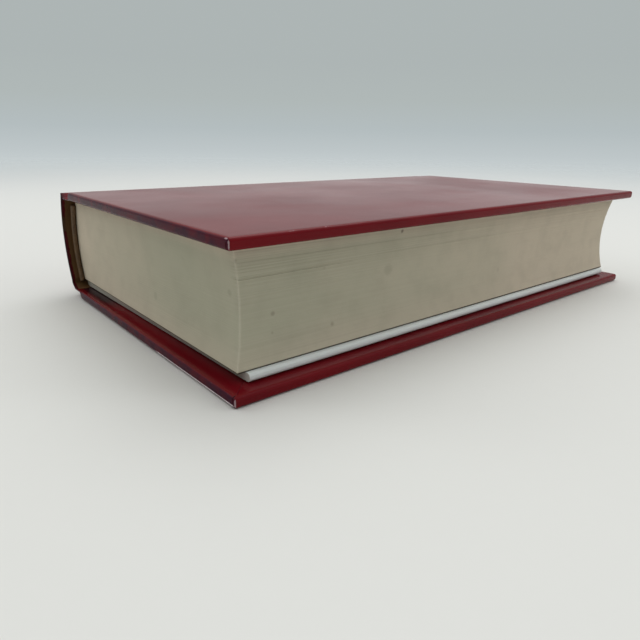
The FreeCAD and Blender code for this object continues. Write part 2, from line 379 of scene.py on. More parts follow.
def coverGrid():
    # rings inside one another, open at the hinge: tail, corner, fore-edge, corner and head;
    # the hinge side goes down the wall of the board into the groove
    inset, height, onEdge = sideProfile()
    wallX = boardLow[0] - case["covering"]
    radius, bend = case["edgeRadius"], case["grooveRadius"]
    turns = [(wrapLow[0], grooveTop), (wallX, grooveTop), (wallX, caseTop), (wallX + 3, caseTop)]
    path = evenly(rounded(turns, [bend, radius])[:-1], 0.6)
    along = arcLength(path) / arcLength(path)[-1]
    low = np.stack([wrapLow[0] + (path[-1, 0] - wrapLow[0]) * along, 0 * along + wrapLow[2]], 1)
    thin = (path[:, 1] - wrapLow[2]) / coverThick

    t = inset[:, None]
    h = height[:, None]
    # rings on the outside turn the corner more and more widely
    bendAt = np.maximum(case["cornerRadius"] - t, 0.2) + 0.8 * np.clip(t - radius, 0, 9) * (h == 1)
    cornerX = wrapHigh[0] - t - bendAt
    squeezed = np.where(t < radius, t * thin + (1 - thin) * np.minimum(t, 0.1), t)

    # hinge part of the tail edge
    hingeXs = low[:, 0] + h * (path[:, 0] - low[:, 0])
    hingeZs = low[:, 1] + h * (path[:, 1] - low[:, 1])
    hingeYs = wrapLow[1] + squeezed
    # straight part of the tail edge, with close points by the seam
    seamMiddle = coverLook["seamFromCorner"] + coverLook["seamWidth"] / 2 - case["cornerRadius"]
    close = seamMiddle + seamHalf * np.array([14, 6, 2.5, 1.17, 1, 0.84, 0, -0.84, -1, -1.17])
    share = spread(0, 1, 52, 1.4)[1:]
    start = path[-1, 0]
    straightX = np.hstack([start + (cornerX - close[0] - start) * share, cornerX - close[1:]])
    straightY = wrapLow[1] + t + 0 * straightX
    # corner
    swing = np.linspace(-math.pi / 2, 0, 9)
    turnX = cornerX + bendAt * np.cos(swing)
    turnY = wrapLow[1] + t + bendAt + bendAt * np.sin(swing)
    # fore-edge
    foreStart = wrapLow[1] + t + bendAt
    foreY = foreStart * (1 - 2 * spread(0, 1, 104, 1.35)[1:-1])
    foreX = wrapHigh[0] - t + 0 * foreY

    x = np.hstack([hingeXs, straightX, turnX, foreX])
    y = np.hstack([hingeYs, straightY, turnY, foreY])
    z = wrapLow[2] + h * coverThick + 0 * x
    z[:, :len(path)] = hingeZs
    mirrorEnd = x.shape[1] - foreY.shape[1]
    x, y, z = (
        np.hstack([half, sign * half[:, :mirrorEnd][:, ::-1]])
        for half, sign in ((x, 1), (y, -1), (z, 1))
    )

    alongTail = np.ones(len(path) + straightX.shape[1])
    outX = np.concatenate([0 * alongTail, np.cos(swing)])
    outY = np.concatenate([-alongTail, np.sin(swing)])
    outX = np.concatenate([outX, np.ones(foreY.shape[1]), outX[::-1]])
    outY = np.concatenate([outY, np.zeros(foreY.shape[1]), -outY[::-1]])
    return x, y, z, outX, outY, inset, height, onEdge, len(path)


def closingFaces(rows, columns, hinge, flip):
    # from the last ring at the tail across to the head: strips over the groove, then one flat face
    first = (rows - 1) * columns
    last = first + columns - 1
    faces = [[first + i, first + i + 1, last - 1 - i, last - i] for i in range(hinge - 1)]
    faces.append(list(range(first + hinge - 1, last - hinge + 2)))
    return [face[::-1] for face in faces] if flip else faces


def freePart(x):
    # the covers are worn and uneven beyond the joint only
    return np.clip((x - boardLow[0] - 2) / 6, 0, 1)


def knocks(lines, along, level, onSide):
    # rubbed lines: a bell curve in height, with ends that fade out
    worn = 0 * along * level
    for start, end, middle, wide, amount in lines:
        span = np.clip((along - start) / coverLook["knockEnds"], 0, 1)
        span = span * np.clip((end - along) / coverLook["knockEnds"], 0, 1) * onSide
        worn = np.maximum(worn, amount * span * bell(level, middle, wide))
    return worn


def wearOf(x, y, outX, outY, inset, height, back):
    # how worn the paper is: a little on every edge, more at the corners and where it was knocked
    toEdge = np.hypot(np.clip(inset, 0, 9), np.where(height > 0.5, 1 - height, height) * coverThick)
    rub = bell(np.clip(toEdge - 0.34, 0, 9), 0, 0.13)[:, None]
    nearCorner = np.hypot(wrapHigh[0] - x, wrapHigh[1] - np.abs(y))
    upright = bell(nearCorner, 0.33, 0.12) * (inset < 1.0)[:, None]
    amount = coverWear["everywhere"] + 0.45 * np.exp(-nearCorner / 2.2)
    worn = freePart(x) * rub * amount + 0.85 * upright
    side = "back" if back else "front"
    level = (height * coverThick)[:, None]
    outside = (inset < 0.9)[:, None]
    onTail = outside * (y < 0) * (np.abs(outY) > 0.9)
    worn = np.maximum(worn, knocks(coverWear[side + "Tail"], x, level, onTail))
    return np.maximum(worn, knocks(coverWear[side + "Fore"], y, level, outside * (outX > 0.9)))


def coveringPiece(name, points, faces, shares, body, node):
    # the outer face of the covering, thickened inwards
    piece = addMesh(name, points, faces, sharpAngle=None)
    for share, values in shares.items():
        setShare(piece.data, share, values)
    wall = piece.modifiers.new("wall", "SOLIDIFY")
    wall.thickness = case["covering"] / 1000
    wall.offset = -1
    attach(piece, body)
    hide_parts(node)
    return piece


def coveredBoard(name, body, node, back):
    # the rings, pushed out and in along the edges by a sum of sines, with the corner seams pressed in
    x, y, z, outX, outY, inset, height, onEdge, hinge = coverGrid()
    free = freePart(x)
    seed = 40 if back else 20
    uneven = waver(x + 1.3 * y, 27, 7, seed) + 0.5 * waver(x - 0.7 * y + 9 * z, 7, 5, seed + 1)
    push = coverLook["edgeWaver"] * (uneven - 0.7) * onEdge[:, None] * free
    # seam and folded corner on the head and tail edges
    fromCorner = wrapHigh[0] - x
    onEnd = (np.abs(outY) > 0.99) * (fromCorner < 6)
    lowPart = np.clip((1 - case["edgeRadius"] / coverThick - height) / 0.05, 0, 1)
    lowPart = (lowPart * (inset < 1.2))[:, None]
    inSeam = np.abs(fromCorner - coverLook["seamFromCorner"] - coverLook["seamWidth"] / 2)
    slit = np.clip((seamHalf - inSeam) / 0.03, 0, 1)
    deeper = np.clip((coverLook["seamFromCorner"] - fromCorner) / 0.1, 0, 1) * (slit < 0.5)
    push -= onEnd * lowPart * (coverLook["seamDepth"] * slit + coverLook["flapStep"] * deeper)
    x = x + outX * push
    y = y + outY * push
    # mitre slit of the turn-ins
    flat = ((height == 0) & (inset > 1.3) & (inset < case["turnIn"]))[:, None]
    diagonal = np.abs((wrapHigh[1] - np.abs(y)) - (wrapHigh[0] - x)) / math.sqrt(2)
    z = z + coverLook["seamDepth"] * flat * np.clip((0.09 - diagonal) / 0.03, 0, 1)
    # the edges of the boards sag a little where they are handled
    sagging = (np.clip(1.4 - inset, 0, 1) * (height > 0.6))[:, None] * free
    z = z - 0.05 * sagging * (0.5 + 0.5 * uneven)
    # darker in the slits of the folded corners; inside the back cover by the joint, painted shade
    # under the white leaves
    darkened = np.clip(onEnd * lowPart * slit, 0, 1)
    # painted shade on the turn-in by the joint, under the white leaves
    if back:
        inner = ((height == 0) * np.clip((inset - 1.1) / 1.2, 0, 1))[:, None]
        darkened = np.maximum(darkened, 0.9 * np.clip((-19 - x) / 9, 0, 1) * inner)

    points = np.stack([x, y, caseTop - z if back else z], -1)
    faces = gridFaces(*x.shape, flip=back) + closingFaces(*x.shape, hinge, flip=back)
    shares = {"worn": wearOf(x, y, outX, outY, inset, height, back), "darkened": darkened}
    piece = coveringPiece(name, points, faces, shares, body, node)
    shape = bmesh.new()
    shape.from_mesh(piece.data)
    bmesh.ops.remove_doubles(shape, verts=shape.verts, dist=2e-7)
    shape.to_mesh(piece.data)
    shape.free()
    return piece


# knocks and rubbed lines: from, to (along x on the tail edge, along y on the fore-edge),
# height above the inside of the board, half width and amount
coverWear = {
    "everywhere": 0.10,
    "frontTail": [
        (30.6, 31.9, 2.45, 0.14, 0.7), (45.5, 47.6, 2.5, 0.14, 0.68), (48.3, 49.4, 2.45, 0.14, 0.68),
        (53.2, 55.4, 2.4, 0.22, 0.85), (53.7, 54.2, 1.9, 0.5, 0.55),
    ],
    "frontFore": [
        (-75.5, -72.0, 2.55, 0.12, 0.62), (-70.5, -69.5, 2.55, 0.1, 0.6),
        (-66.5, -63.0, 2.55, 0.12, 0.6), (-52.5, -50.9, 2.55, 0.12, 0.6),
        (21.2, 22.8, 2.45, 0.2, 0.85),
    ],
    "backTail": [
        (17.0, 55.4, 1.98, 0.2, 1.3), (4.0, 22.0, 2.05, 0.12, 0.7), (27.0, 54.8, 2.43, 0.1, 1.2),
        (42.0, 55.0, 0.30, 0.12, 0.6),
    ],
    "backFore": [(-86.5, -83.0, 1.6, 0.5, 0.35), (-79.0, -76.5, 1.2, 0.4, 0.3)],
}

print("covered boards")
frontCovering = coveredBoard("frontCovering", "front_cover", "front_wrap", back=False)
backCovering = coveredBoard("backCovering", "back_cover", "back_wrap", back=True)


spineLook = {
    # at the upper and the lower shoulder
    "runs": (0.9, 1.2),  # covering beyond the long edge of the card
    "feet": (2.4, 2.0),  # foot of the shoulder, measured back from the hinge
    "unevenness": 0.06,
    "cardEdgeX": -52.519,  # long edges of the curved card, on the outside
    "foldRadius": 0.32,  # where the covering is folded in over the card
    "foldHeight": 0.34,  # share of the height that each bend takes up
    "endSag": 0.10,
    "endSagReach": 2.2,
}


def spinePath():
    # across the spine, from the upper hinge round the card to the lower hinge
    edge = spineLook["cardEdgeX"]
    bulge = edge - spineLow[0]
    shellMiddle = (cardLow[2] + cardHigh[2]) / 2
    # the card's ends lie on its inner side, so the outer half chord is found from bulge and radius
    radius = paper["backRadius"]
    for layer in ("gauze", "liner", "hollow", "card", "covering"):
        radius += case[layer]
    angle = math.acos(1 - bulge / radius)
    halfChord = radius * math.sin(angle)
    centreX = spineLow[0] + radius
    lean = np.array([math.sin(angle), math.cos(angle)])
    shoulders = []
    heights = (grooveTop, case["grooveDepth"])
    for up, z, foot, run in zip((1, -1), heights, spineLook["feet"], spineLook["runs"]):
        end = np.array([edge, shellMiddle + up * halfChord])
        turns = [(spineHigh[0], z), (hingeX - foot, z), end + lean * (1, up) * run, end]
        shoulders.append(evenly(rounded(turns, [1.0, 0.5]), 0.5))
    swing = np.linspace(angle, -angle, 60)[1:-1]
    curve = np.stack([centreX - radius * np.cos(swing), shellMiddle + radius * np.sin(swing)], 1)
    path = np.vstack([shoulders[0], curve, shoulders[1][::-1]])
    # how far the covering stands over the card: fully on the card and just past its long edges
    distance = arcLength(path)
    card = distance[(np.abs(path[:, 1] - shellMiddle) <= halfChord) & (path[:, 0] < edge + 0.01)]
    beyond = np.maximum(card[0] - distance, distance - card[-1])
    onCard = np.clip(1 - (beyond - 0.15) / 0.5, 0, 1)
    return path, onCard


def spineSheet():
    # the path drawn out from tail to head, folded in over the ends of the card
    path, onCard = spinePath()
    slope = np.gradient(path, axis=0)
    slope /= np.linalg.norm(slope, axis=1)[:, None]
    outward = np.stack([slope[:, 1], -slope[:, 0]], 1)
    depth = 2 * case["covering"] + onCard * case["card"]
    half = (spineHigh[1] - spineLow[1]) / 2
    turn = np.linspace(0, math.pi / 2, 5)
    bend, share = spineLook["foldRadius"], spineLook["foldHeight"]
    # distance from the end of the book, and height from 0 inside to 1 outside
    fold = np.vstack([
        np.stack([np.array([case["turnIn"], 9.0, 4.0, 1.2, 0.6]), np.zeros(5)], 1),
        np.stack([bend * (1 - np.sin(turn)), share * (1 - np.cos(turn))], 1),
        np.stack([bend * (1 - np.cos(turn)), 1 - share * (1 - np.sin(turn))], 1),
    ])
    outside = np.concatenate([[0.6, 1.2, 2.5], np.linspace(5, half, 34)])
    fromEnd = np.concatenate([fold[:, 0], outside])
    height = np.concatenate([fold[:, 1], 0 * outside + 1])
    y = np.concatenate([-half + fromEnd, half - fromEnd[-2::-1]])
    height = np.concatenate([height, height[-2::-1]])
    distance = arcLength(path)[None]
    uneven = waver(distance + 0 * y[:, None], 17, 5, 3) * waver(y[:, None] + 0 * distance, 41, 6, 4)
    sag = -spineLook["unevenness"] * np.abs(uneven) * onCard
    atEnds = bell(np.abs(y[:, None]), half, spineLook["endSagReach"])
    sag = sag - spineLook["endSag"] * atEnds * onCard
    inward = depth * (1 - height[:, None]) - sag
    x = path[:, 0] - outward[:, 0] * inward
    z = path[:, 1] - outward[:, 1] * inward
    return np.stack([x, y[:, None] + 0 * x, z], -1), height


print("spine")
spineGrid, spineHeight = spineSheet()
spineFaces = gridFaces(*spineGrid.shape[:2], flip=True)
fromTail = np.clip(spineGrid[..., 1] + spineHigh[1], 0, None)
fromEnds = spineHigh[1] - np.abs(spineGrid[..., 1])
# the turned-in covering of the spine is brown with age, and rubbed through at the tail
wearAndHighlight = bell(spineGrid[..., 2], 24, 3.2) * bell(fromTail, 0, 1.1)
inside = (spineHeight < 0.3)[:, None] * np.clip((fromTail - 0.5) / 0.9, 0, 1)
spineShares = {
    "worn": 0.25 * bell(fromEnds, 0, 0.3) * (spineHeight > 0.3)[:, None],
    "aged": np.maximum(inside, wearAndHighlight),
    # darkened: darker towards the head and tail ends
    "darkened": 0.72 * bell(fromEnds, 0, 1.2),
}
spineCovering = coveringPiece(
    "spineCovering", spineGrid, spineFaces, spineShares, "book_block", "spine_wrap"
)

jointLook = {
    "Covering": {
        "reach": 1.9,  # either side of the hinge line
        "thickness": 0.1,
        "surface": grooveTop + 0.02,
        "half": wrapHigh[1] - 0.05,
        "slot": "covering",
    },
    "Paper": {
        "reach": 1.5,
        "thickness": 0.03,
        "surface": (flyHigh[2] + pasteLow[2]) / 2 + 0.03 / 2,
        "half": pasteHigh[1],
        "slot": "endpaper",
    },
}


def jointStrip(side, sheet):
    # flat closed strip across the hinge line
    look, back = jointLook[sheet], side == "back"
    x = hingeX + np.linspace(-look["reach"], look["reach"], 25)
    y = np.linspace(-look["half"], look["half"], 60)
    outer = np.stack(np.broadcast_arrays(x[None], y[:, None], look["surface"]), -1)
    points = np.stack([outer, outer - np.array([0, 0, look["thickness"]])])
    level = look["surface"]
    if back:
        points = points * (1, 1, -1) + (0, 0, caseTop)
        level = caseTop - level
    shape = outer.shape[:2]
    count = shape[0] * shape[1]
    index = np.arange(count).reshape(shape)
    border = np.concatenate([index[0, :-1], index[:-1, -1], index[-1, :0:-1], index[:0:-1, 0]])
    onward = np.roll(border, -1)
    rim = np.stack([border, border + count, onward + count, onward], -1)
    rim = rim[:, ::-1] if back else rim
    faces = gridFaces(*shape, flip=back) + gridFaces(*shape, start=count, flip=not back)
    piece = addMesh(side + "Joint" + sheet, points, faces + rim.tolist())
    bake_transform(piece)
    return piece


joints = {}
for side in ("front", "back"):
    for sheet in jointLook:
        joints[side + sheet] = jointStrip(side, sheet)


bandLook = {
    "bead": 0.8,  # radius
    "inset": 0.3,
    "threadPitch": 0.62,
    "threadRidge": 0.05,
    "tape": 12.0,
    "tapeThickness": 0.18,
}


def aroundBack(radius, y, angle):
    # points on circles about the axis of the back
    x, z = axisX - radius * np.cos(angle), middleZ + radius * np.sin(angle)
    return np.stack(np.broadcast_arrays(x, y, z), -1)


def sewnBand(name, node, endY, outward):
    # bead: a circle carried along the curve of the back, swollen once for each turn of thread;
    # tape: a thin bent sheet behind it
    half = middleZ - plateLow[2] - paper["backCorner"]
    angle = math.asin(half / paper["backRadius"])
    along = np.linspace(-angle, angle, 460)[:, None]
    ring = np.linspace(0, 2 * math.pi, 20, endpoint=False)[None]
    curve = paper["backRadius"] - bandLook["inset"]
    thread = np.abs(np.sin(math.pi * along * curve / bandLook["threadPitch"] + 0.6 * np.sin(ring)))
    ends = np.sqrt(np.clip(1 - ((np.abs(along) - angle + 0.012) / 0.012).clip(0, 1) ** 2, 0.02, 1))
    size = (bandLook["bead"] - bandLook["threadRidge"] * (1 - thread)) * ends
    centreY = endY + outward * bandLook["bead"]
    bead = aroundBack(curve + size * np.cos(ring), centreY + size * np.sin(ring), along)
    swing = np.linspace(-angle, angle, 30)[:, None]
    near = paper["backRadius"] + 0.01
    far = near + bandLook["tapeThickness"] - 0.02
    radii = np.array([near, far, far, near])
    ys = np.array([0, 0, 1, 1])
    tapeY = centreY - outward * ys * (bandLook["tape"] + bandLook["bead"])
    tape = aroundBack(radii, tapeY, swing)
    rows, columns = bead.shape[:2]
    faces = tubeFaces(rows, columns) + tubeFaces(*tape.shape[:2], start=rows * columns)
    piece = addMesh(name, np.concatenate([bead.reshape(-1, 3), tape.reshape(-1, 3)]), faces)
    shape = bmesh.new()
    shape.from_mesh(piece.data)
    bmesh.ops.recalc_face_normals(shape, faces=shape.faces)
    shape.to_mesh(piece.data)
    shape.free()
    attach(piece, "book_block")
    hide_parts(node)
    return piece


print("bands")
tailBand = sewnBand("tailBandThread", "tail_band", textLow[1], -1)
headBand = sewnBand("headBandThread", "head_band", textHigh[1], 1)

for piece, node, slot in (
    (leavesBlock, "text_block", "leaves"), (whiteLeaves, "plate_section", "white_leaves")
):
    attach(piece, "book_block")
    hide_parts(node)


def newFinish(name):
    material = bpy.data.materials.new(name)
    material.use_nodes = True
    tree = material.node_tree
    coords = place(tree, "TexCoord").outputs["Object"]
    return material, tree, tree.nodes["Principled BSDF"], coords


def place(tree, kind, settings=None, **inputs):
    # a node with its settings and inputs, by name or as i and a number; sockets are linked
    made = tree.nodes.new("ShaderNode" + kind)
    for key, value in (settings or {}).items():
        setattr(made, key, value)
    for key, value in inputs.items():
        socket = made.inputs[key if key in made.inputs else int(key[1:])]
        if isinstance(value, bpy.types.NodeSocket):
            tree.links.new(value, socket)
        else:
            socket.default_value = value
    return made


def noise(tree, coords, scale, detail=3.0, roughness=0.55):
    inputs = {"Vector": coords, "Scale": scale, "Detail": detail, "Roughness": roughness}
    return place(tree, "TexNoise", **inputs).outputs["Fac"]


def stretched(tree, coords, scale):
    return place(tree, "Mapping", Vector=coords, Scale=scale).outputs["Vector"]


def calc(tree, operation, a, b=0.0, clamp=False):
    made = place(tree, "Math", {"operation": operation, "use_clamp": clamp}, i0=a, i1=b)
    return made.outputs["Value"]


def rangeOf(tree, value, low, high, toLow=0.0, toHigh=1.0, smooth=False):
    kind = {"interpolation_type": "SMOOTHSTEP" if smooth else "LINEAR"}
    made = place(tree, "MapRange", kind, i0=value, i1=low, i2=high, i3=toLow, i4=toHigh)
    return made.outputs["Result"]


def mixed(tree, share, first, second, blend="MIX"):
    settings = {"data_type": "RGBA", "blend_type": blend}
    first, second = ((*c, 1) if isinstance(c, tuple) else c for c in (first, second))
    return place(tree, "Mix", settings, i0=share, i6=first, i7=second).outputs[2]


def tinted(tree, colour, tint, value, low, high, share, smooth=False):
    # mixed with a tint, from none where the value is low to the share where it is high
    return mixed(tree, rangeOf(tree, value, low, high, 0.0, share, smooth), colour, tint)


def bumped(tree, shader, height, distance, strength, **under):
    # under: the normal of a bump that this one lies on
    made = place(tree, "Bump", Height=height, Distance=distance, Strength=strength, **under)
    tree.links.new(made.outputs["Normal"], shader.inputs["Normal"])
    return made.outputs["Normal"]


def complete(tree, shader, colour, roughness, height, distance, strength):
    # the colour, roughness and bump that most finishes end with
    tree.links.new(colour, shader.inputs["Base Color"])
    shader.inputs["Roughness"].default_value = roughness
    bumped(tree, shader, height, distance, strength)


def readShare(tree, name):
    return place(tree, "Attribute", {"attribute_name": name}).outputs["Fac"]


def partsOf(tree, vector):
    return place(tree, "SeparateXYZ", Vector=vector).outputs


def squarely(tree, axis):
    # how squarely a face looks along an axis, from 0 to 1
    facing = place(tree, "NewGeometry").outputs["True Normal"]
    return calc(tree, "ABSOLUTE", partsOf(tree, facing)[axis])


def measured(tree, operation, a, b=(0.0, 0.0, 0.0)):
    return place(tree, "VectorMath", {"operation": operation}, i0=a, i1=b).outputs["Value"]


print("finishes")

coveringLook = {
    "red": (0.165, 0.0045, 0.0085), "deepRed": (0.130, 0.0038, 0.0075),
    "shadedPurple": (0.042, 0.0065, 0.019), "bare": (0.42, 0.30, 0.32), "core": (0.88, 0.83, 0.83),
    "brown": (0.158, 0.084, 0.031), "dirt": (0.012, 0.005, 0.008),
    "roughness": 0.17,
    "refraction": 1.24,
}


def glossyCovering():
    look = coveringLook
    material, tree, shader, coords = newFinish("glossyRedCovering")
    broad = noise(tree, coords, 30, 3)
    colour = mixed(tree, rangeOf(tree, broad, 0.35, 0.65), look["red"], look["deepRed"])
    # painted shade: the faces that look along y, the folded ends, are painted darker and bluer than
    # the others, with a mottle
    ends = squarely(tree, "Y")
    mottledEndShade = rangeOf(tree, noise(tree, coords, 260, 4), 0.3, 0.6, 0.45, 1.0)
    mottledEndShade = calc(tree, "MULTIPLY", rangeOf(tree, ends, 0.5, 0.75), mottledEndShade)
    colour = mixed(tree, mottledEndShade, colour, look["shadedPurple"])
    uneven = rangeOf(tree, noise(tree, coords, 700, 4), 0.3, 0.7, -0.25, 0.25)
    aged = calc(tree, "ADD", readShare(tree, "aged"), uneven)
    agedMask = rangeOf(tree, aged, 0.42, 0.6, smooth=True)
    colour = mixed(tree, agedMask, colour, look["brown"])
    # rubbed through where wear and noise together come to more than about 1
    worn = readShare(tree, "worn")
    ragged = calc(tree, "MULTIPLY", noise(tree, coords, 1300, 3, 0.6), 0.5)
    ragged = calc(tree, "ADD", ragged, calc(tree, "MULTIPLY", noise(tree, coords, 210, 3), 0.5))
    mask = rangeOf(tree, calc(tree, "ADD", worn, ragged), 0.98, 1.2, smooth=True)
    bare = mixed(tree, rangeOf(tree, worn, 0.86, 0.98), look["bare"], look["core"])
    colour = mixed(tree, mask, colour, bare)
    # darkened: darker in the corner slits and at the spine's ends, and painted shade inside the back
    # cover by the joint
    colour = mixed(tree, readShare(tree, "darkened"), colour, look["dirt"])
    tree.links.new(colour, shader.inputs["Base Color"])
    rough = look["roughness"]
    haze = rangeOf(tree, noise(tree, coords, 24, 3), 0.3, 0.7, rough - 0.03, rough + 0.06)
    dull = calc(tree, "ADD", calc(tree, "MULTIPLY", mask, 0.5), calc(tree, "MULTIPLY", agedMask, 0.3))
    tree.links.new(calc(tree, "ADD", haze, dull, clamp=True), shader.inputs["Roughness"])
    shader.inputs["IOR"].default_value = look["refraction"]
    # the faces have kept their gloss, the edges of the boards less, the folded ends least
    gloss = rangeOf(tree, squarely(tree, "Z"), 0.2, 0.9, 0.34, 0.5)
    gloss = calc(tree, "SUBTRACT", gloss, rangeOf(tree, ends, 0.7, 0.95, 0.0, 0.2))
    tree.links.new(gloss, shader.inputs["Specular IOR Level"])
    swell = bumped(tree, shader, noise(tree, coords, 130, 2), 0.00006, 0.35)
    grain = calc(tree, "MULTIPLY", noise(tree, coords, 1500, 2), 0.12)
    bumped(tree, shader, calc(tree, "SUBTRACT", grain, mask), 0.00005, 0.5, Normal=swell)
    return material


leavesColour = {
    "warm": (0.585, 0.515, 0.40), "shadedGreen": (0.435, 0.425, 0.318), "line": (0.25, 0.225, 0.165),
    "spot": (0.13, 0.10, 0.075), "gapShade": (0.05, 0.042, 0.03), "wearAndHighlight": (0.70, 0.66, 0.53),
}
# small stains on the fore-edge (y, z, radius, strength) and on the tail (x, z, radius, strength)
foreStains = [
    (-84.3, 29.4, 0.40, 0.25), (-74.8, 16.3, 0.42, 0.34), (-57.9, 10.5, 0.5, 0.30),
    (-75.2, 12.0, 0.3, 0.25), (-38.8, 21.1, 1.3, 0.16), (-35.6, 30.8, 0.4, 0.75),
    (-60.5, 24.6, 0.4, 0.12), (12.0, 14.0, 0.7, 0.12),
]
tailStains = [(45.4, 21.7, 0.7, 0.18), (8.0, 12.5, 0.9, 0.15)]
stains = [(float(foreEdgeAt(z)), y, z, radius, share) for y, z, radius, share in foreStains]
for x, z, radius, share in tailStains:
    stains.append((x, textLow[1] + float(trimmedAt(x, z)), z, radius, share))


def pageEdges():
    look = leavesColour
    material, tree, shader, coords = newFinish("creamPageEdges")
    leaf = noise(tree, stretched(tree, coords, (12, 12, 3600)), 1.0, 3, 0.6)
    gatherings = noise(tree, stretched(tree, coords, (6, 6, 330)), 1.0, 2, 0.5)
    cloud = noise(tree, coords, 33, 3)
    blotch = noise(tree, coords, 140, 4)
    parts = partsOf(tree, coords)
    # painted shade: greyer, greener and darker towards the near corner of the fore-edge and tail
    corner = (textHigh[0] / 1000, textLow[1] / 1000, middleZ / 1000)
    greenShadeNearCorner = rangeOf(tree, measured(tree, "DISTANCE", coords, corner), 0.010, 0.115, 1.0, 0.0)
    cloudy = rangeOf(tree, cloud, 0.35, 0.65, -0.15, 0.15)
    greenShadeNearCorner = calc(tree, "ADD", greenShadeNearCorner, cloudy, clamp=True)
    colour = mixed(tree, greenShadeNearCorner, look["warm"], look["shadedGreen"])
    # warmer towards the first and last leaves
    for fromZ, toZ, share in ((0.014, 0.004, 0.45), (0.0285, 0.0315, 0.7)):
        colour = tinted(tree, colour, look["warm"], parts["Z"], fromZ, toZ, share, True)
    colour = tinted(tree, colour, look["line"], blotch, 0.45, 0.75, 0.16)
    # painted shade in the gaps between leaves: dark lines where the leaves part, more on the
    # fore-edge, near the tail and in the upper half
    foreEdge = rangeOf(tree, parts["X"], 0.0465, 0.0485)
    tailEnd = rangeOf(tree, parts["Y"], -0.085, 0.01, 1.0, 0.12)
    upperHalf = rangeOf(tree, parts["Z"], 0.017, 0.025, 0.25, 1.0)
    parted = calc(tree, "MULTIPLY", calc(tree, "MULTIPLY", tailEnd, upperHalf), foreEdge)
    parted = rangeOf(tree, parted, 0.0, 1.0, 0.05, 0.66)
    gathered = rangeOf(tree, gatherings, 0.4, 0.65, 0.35, 1.0)
    lines = calc(tree, "MULTIPLY", rangeOf(tree, leaf, 0.42, 0.72), gathered)
    colour = mixed(tree, calc(tree, "MULTIPLY", lines, parted), colour, look["line"])
    # painted highlight along the upright corners of the leaves
    wearAndHighlight = calc(tree, "MULTIPLY", readShare(tree, "wearAndHighlight"), 0.45)
    colour = mixed(tree, wearAndHighlight, colour, look["wearAndHighlight"])
    for x, y, z, radius, share in stains:
        middle = (x / 1000, y / 1000, z / 1000)
        away = measured(tree, "DISTANCE", coords, middle)
        away = calc(tree, "ADD", away, calc(tree, "MULTIPLY", blotch, 0.0007))
        edge = radius / 1000 + 0.0003
        spot = rangeOf(tree, away, edge * 0.7, edge * 1.5, share, 0.0, smooth=True)
        colour = mixed(tree, spot, colour, look["spot"])
    # painted shade in the gap over the white leaves
    lowest = textLow[2] / 1000
    gapShade = rangeOf(tree, parts["Z"], lowest + 0.0002, lowest + 0.0005, 0.93, 0.0, smooth=True)
    colour = mixed(tree, gapShade, colour, look["gapShade"])
    shader.inputs["Specular IOR Level"].default_value = 0.25
    complete(tree, shader, colour, 0.85, leaf, 0.00004, 0.5)
    return material


whiteColour = {
    "pale": (0.74, 0.79, 0.775), "line": (0.62, 0.67, 0.66), "cream": (0.66, 0.63, 0.55),
    "dustyShadeBySpine": (0.36, 0.34, 0.27), "dustyShadeByCorner": (0.27, 0.22, 0.18), "paleByForeEdge": (0.55, 0.53, 0.47),
}


def whitePageEdges():
    material, tree, shader, coords = newFinish("whitePageEdges")
    strata = noise(tree, stretched(tree, coords, (10, 10, 3200)), 1.0, 4, 0.7)
    blotch = noise(tree, coords, 90, 3)
    colour = mixed(tree, rangeOf(tree, strata, 0.35, 0.8), whiteColour["pale"], whiteColour["line"])
    colour = tinted(tree, colour, whiteColour["cream"], blotch, 0.4, 0.7, 0.2)
    # dust and painted shade on the head and tail of these leaves, darker away from the spine
    acrossLeaves = partsOf(tree, coords)["X"]
    byCorner = rangeOf(tree, acrossLeaves, -0.040, -0.010)
    darkened = mixed(tree, byCorner, whiteColour["dustyShadeBySpine"], whiteColour["dustyShadeByCorner"])
    # paler again by the fore-edge
    foreEdge = plateHigh[0] / 1000
    palerByForeEdge = rangeOf(tree, acrossLeaves, foreEdge - 0.0042, foreEdge - 0.0012, smooth=True)
    darkened = mixed(tree, palerByForeEdge, darkened, whiteColour["paleByForeEdge"])
    colour = tinted(tree, colour, darkened, squarely(tree, "Y"), 0.6, 0.95, 0.88)
    complete(tree, shader, colour, 0.8, strata, 0.00005, 0.7)
    return material


sheetColour = {
    "pale": (0.74, 0.70, 0.60), "aged": (0.67, 0.62, 0.51), "fibre": (0.58, 0.52, 0.41),
    "edgeShade": (0.10, 0.082, 0.068),
}


def smoothPaper(name, shadedEdges):
    material, tree, shader, coords = newFinish(name)
    fibre = noise(tree, coords, 1400, 4, 0.7)
    cloud = noise(tree, coords, 28, 4)
    colour = mixed(tree, rangeOf(tree, cloud, 0.3, 0.7), sheetColour["pale"], sheetColour["aged"])
    colour = tinted(tree, colour, sheetColour["fibre"], fibre, 0.55, 0.8, 0.3)
    if shadedEdges:
        # painted shade: the cut edges that look along y are painted dark
        colour = tinted(tree, colour, sheetColour["edgeShade"], squarely(tree, "Y"), 0.6, 0.95, 0.95)
    complete(tree, shader, colour, 0.82, fibre, 0.00003, 0.5)
    return material


fibrousLook = {
    "greyBoard": {
        "stretch": (1, 1, 5), "noise": (1200, 5, 0.75), "roughness": 0.92, "bump": (0.00006, 0.7),
        "light": (0.33, 0.30, 0.25), "dark": (0.22, 0.20, 0.17),
    },
    "kraftStrip": {
        "stretch": (3, 1, 3), "noise": (700, 4, 0.7), "roughness": 0.85, "bump": (0.00004, 0.6),
        "light": (0.36, 0.24, 0.13), "dark": (0.27, 0.17, 0.09),
    },
}


